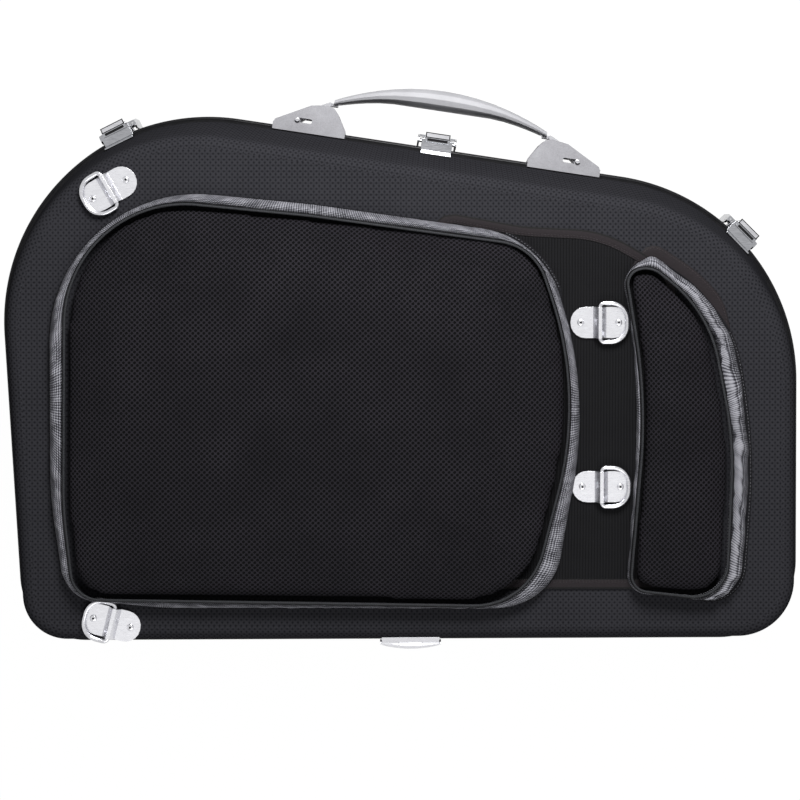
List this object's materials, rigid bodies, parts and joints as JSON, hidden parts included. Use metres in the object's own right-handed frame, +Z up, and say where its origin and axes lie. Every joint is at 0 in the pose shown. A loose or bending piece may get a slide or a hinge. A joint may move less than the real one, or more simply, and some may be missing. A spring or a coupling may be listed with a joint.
{
  "type": "french horn case",
  "caption": "Flat moulded case for a horn with a detachable bell: hinged halves, hook latches, bow handle, mesh back pads and strap rings.",
  "frame": {"origin": "middle of the footprint, on the ground", "axes": "+X along the case's length, +Y towards the handle, +Z up from the front face to the carrying pads"},
  "size_m": [0.6212, 0.441, 0.2055],
  "materials": {
    "shell": "moulded woven composite, satin lacquer",
    "rim": "extruded edge profile, grey anodised",
    "seal": "black sponge seal",
    "foam": "dark plush over soft foam",
    "mesh": "perforated spacer mesh over foam",
    "band": "grey knitted side band",
    "piping": "sewn piping",
    "panel": "ribbed black cloth",
    "metal": "pressed and turned steel, bright plated",
    "bracket": "die cast, silver painted",
    "grip": "moulded grip, silver grey"
  },
  "bodies": {
    "front_half": {"front_shell": "shell", "front_rim": "rim", "rim_gasket": "seal", "front_liner": "foam", "hinge_leaf_front": "metal", "hinge_pin": "metal", "latch_base_left": "metal", "latch_base_middle": "metal", "latch_base_right": "metal"},
    "back_half": {"hinge_leaf_back": "metal", "back_liner": "foam", "ring_plate_upper_left": "metal", "ring_screw_upper_left_far_side": "metal", "ring_screw_upper_left_ring_side": "metal", "ring_plate_upper_middle": "metal", "ring_screw_upper_middle_far_side": "metal", "ring_screw_upper_middle_ring_side": "metal", "ring_plate_lower_middle": "metal", "ring_screw_lower_middle_far_side": "metal", "ring_screw_lower_middle_ring_side": "metal", "ring_plate_lower_left": "metal", "ring_screw_lower_left_far_side": "metal", "ring_screw_lower_left_ring_side": "metal", "back_shell": "shell", "back_panel": "panel", "large_pad": "mesh", "large_pad_gusset": "band", "large_pad_piping": "piping", "small_pad": "mesh", "small_pad_gusset": "band", "small_pad_piping": "piping", "strike_left": "metal", "strike_middle": "metal", "strike_right": "metal", "handle_bracket_left": "bracket", "bracket_screw_left_inner": "metal", "bracket_screw_left_outer": "metal", "handle_bracket_right": "bracket", "bracket_screw_right_inner": "metal", "bracket_screw_right_outer": "metal", "back_rim": "rim"},
    "d_ring_upper_left": {"d_ring_upper_left": "metal"},
    "d_ring_upper_middle": {"d_ring_upper_middle": "metal"},
    "d_ring_lower_middle": {"d_ring_lower_middle": "metal"},
    "d_ring_lower_left": {"d_ring_lower_left": "metal"},
    "latch_lever_left": {"latch_lever_left": "metal"},
    "latch_hook_left": {"latch_hook_left": "metal"},
    "latch_lever_middle": {"latch_lever_middle": "metal"},
    "latch_hook_middle": {"latch_hook_middle": "metal"},
    "latch_lever_right": {"latch_lever_right": "metal"},
    "latch_hook_right": {"latch_hook_right": "metal"},
    "handle_grip": {"handle_grip": "grip"},
    "handle_link_left": {"handle_link_left": "grip"},
    "handle_pin_left": {"handle_pin_left": "metal"},
    "handle_link_right": {"handle_link_right": "grip"},
    "handle_pin_right": {"handle_pin_right": "metal"}
  },
  "joints": [
    {"name": "lid_hinge", "type": "hinge", "parent": "front_half", "child": "back_half", "pos_m": [0.00769, -0.21507, 0.095], "axis": [1, 0, 0], "range_deg": [0, 105]},
    {"name": "ring_upper_left_swing", "type": "hinge", "parent": "back_half", "child": "d_ring_upper_left", "pos_m": [-0.21401, 0.13953, 0.1937], "axis": [-0.5, 0.866, 0], "range_deg": [0, 140]},
    {"name": "ring_upper_middle_swing", "type": "hinge", "parent": "back_half", "child": "d_ring_upper_middle", "pos_m": [0.14615, 0.04167, 0.195], "axis": [0, -1, 0], "range_deg": [0, 140]},
    {"name": "ring_lower_middle_swing", "type": "hinge", "parent": "back_half", "child": "d_ring_lower_middle", "pos_m": [0.14763, -0.07937, 0.195], "axis": [0, -1, 0], "range_deg": [0, 140]},
    {"name": "ring_lower_left_swing", "type": "hinge", "parent": "back_half", "child": "d_ring_lower_left", "pos_m": [-0.21339, -0.18035, 0.1937], "axis": [0.2419, 0.9703, 0], "range_deg": [0, 140]},
    {"name": "latch_left_lever", "type": "hinge", "parent": "front_half", "child": "latch_lever_left", "pos_m": [-0.22307, 0.1871, 0.0815], "axis": [0.8988, 0.4384, 0], "range_deg": [0, 85]},
    {"name": "latch_left_hook", "type": "hinge", "parent": "latch_lever_left", "child": "latch_hook_left", "pos_m": [-0.22307, 0.1871, 0.074], "axis": [0.8988, 0.4384, 0], "range_deg": [-94, 0]},
    {"name": "latch_middle_lever", "type": "hinge", "parent": "front_half", "child": "latch_lever_middle", "pos_m": [0.02853, 0.17892, 0.0815], "axis": [0.9889, -0.1488, 0], "range_deg": [0, 60]},
    {"name": "latch_middle_hook", "type": "hinge", "parent": "latch_lever_middle", "child": "latch_hook_middle", "pos_m": [0.02853, 0.17892, 0.074], "axis": [0.9889, -0.1488, 0], "range_deg": [-67, 0]},
    {"name": "latch_right_lever", "type": "hinge", "parent": "front_half", "child": "latch_lever_right", "pos_m": [0.26891, 0.10784, 0.0815], "axis": [0.6947, -0.7193, 0], "range_deg": [0, 85]},
    {"name": "latch_right_hook", "type": "hinge", "parent": "latch_lever_right", "child": "latch_hook_right", "pos_m": [0.26891, 0.10784, 0.074], "axis": [0.6947, -0.7193, 0], "range_deg": [-94, 0]},
    {"name": "handle_lift", "type": "slide", "parent": "back_half", "child": "handle_grip", "axis": [0.1488, 0.9889, 0], "range_m": [0, 0.0086]},
    {"name": "handle_pin_left_slide", "type": "slide", "parent": "back_half", "child": "handle_pin_left", "axis": [0.9889, -0.1488, 0], "range_m": [0, 0.0105]},
    {"name": "handle_link_left_turn", "type": "hinge", "parent": "handle_pin_left", "child": "handle_link_left", "pos_m": [-0.08059, 0.19574, 0.0903], "axis": [0, 0, 1], "range_deg": [0, 26]},
    {"name": "handle_pin_right_slide", "type": "slide", "parent": "back_half", "child": "handle_pin_right", "axis": [-0.9889, 0.1488, 0], "range_m": [0, 0.0105]},
    {"name": "handle_link_right_turn", "type": "hinge", "parent": "handle_pin_right", "child": "handle_link_right", "pos_m": [0.13776, 0.16289, 0.0903], "axis": [0, 0, -1], "range_deg": [0, 26]}
  ],
  "couplings": [
    {"joint": "latch_left_hook", "follows": "latch_left_lever", "ratio": -1.1},
    {"joint": "latch_middle_hook", "follows": "latch_middle_lever", "ratio": -1.1},
    {"joint": "latch_right_hook", "follows": "latch_right_lever", "ratio": -1.1},
    {"joint": "handle_pin_left_slide", "follows": "handle_lift", "ratio": 1.163},
    {"joint": "handle_link_left_turn", "follows": "handle_lift", "rad_per_m": 50.74},
    {"joint": "handle_pin_right_slide", "follows": "handle_lift", "ratio": 1.163},
    {"joint": "handle_link_right_turn", "follows": "handle_lift", "rad_per_m": 50.74}
  ]
}
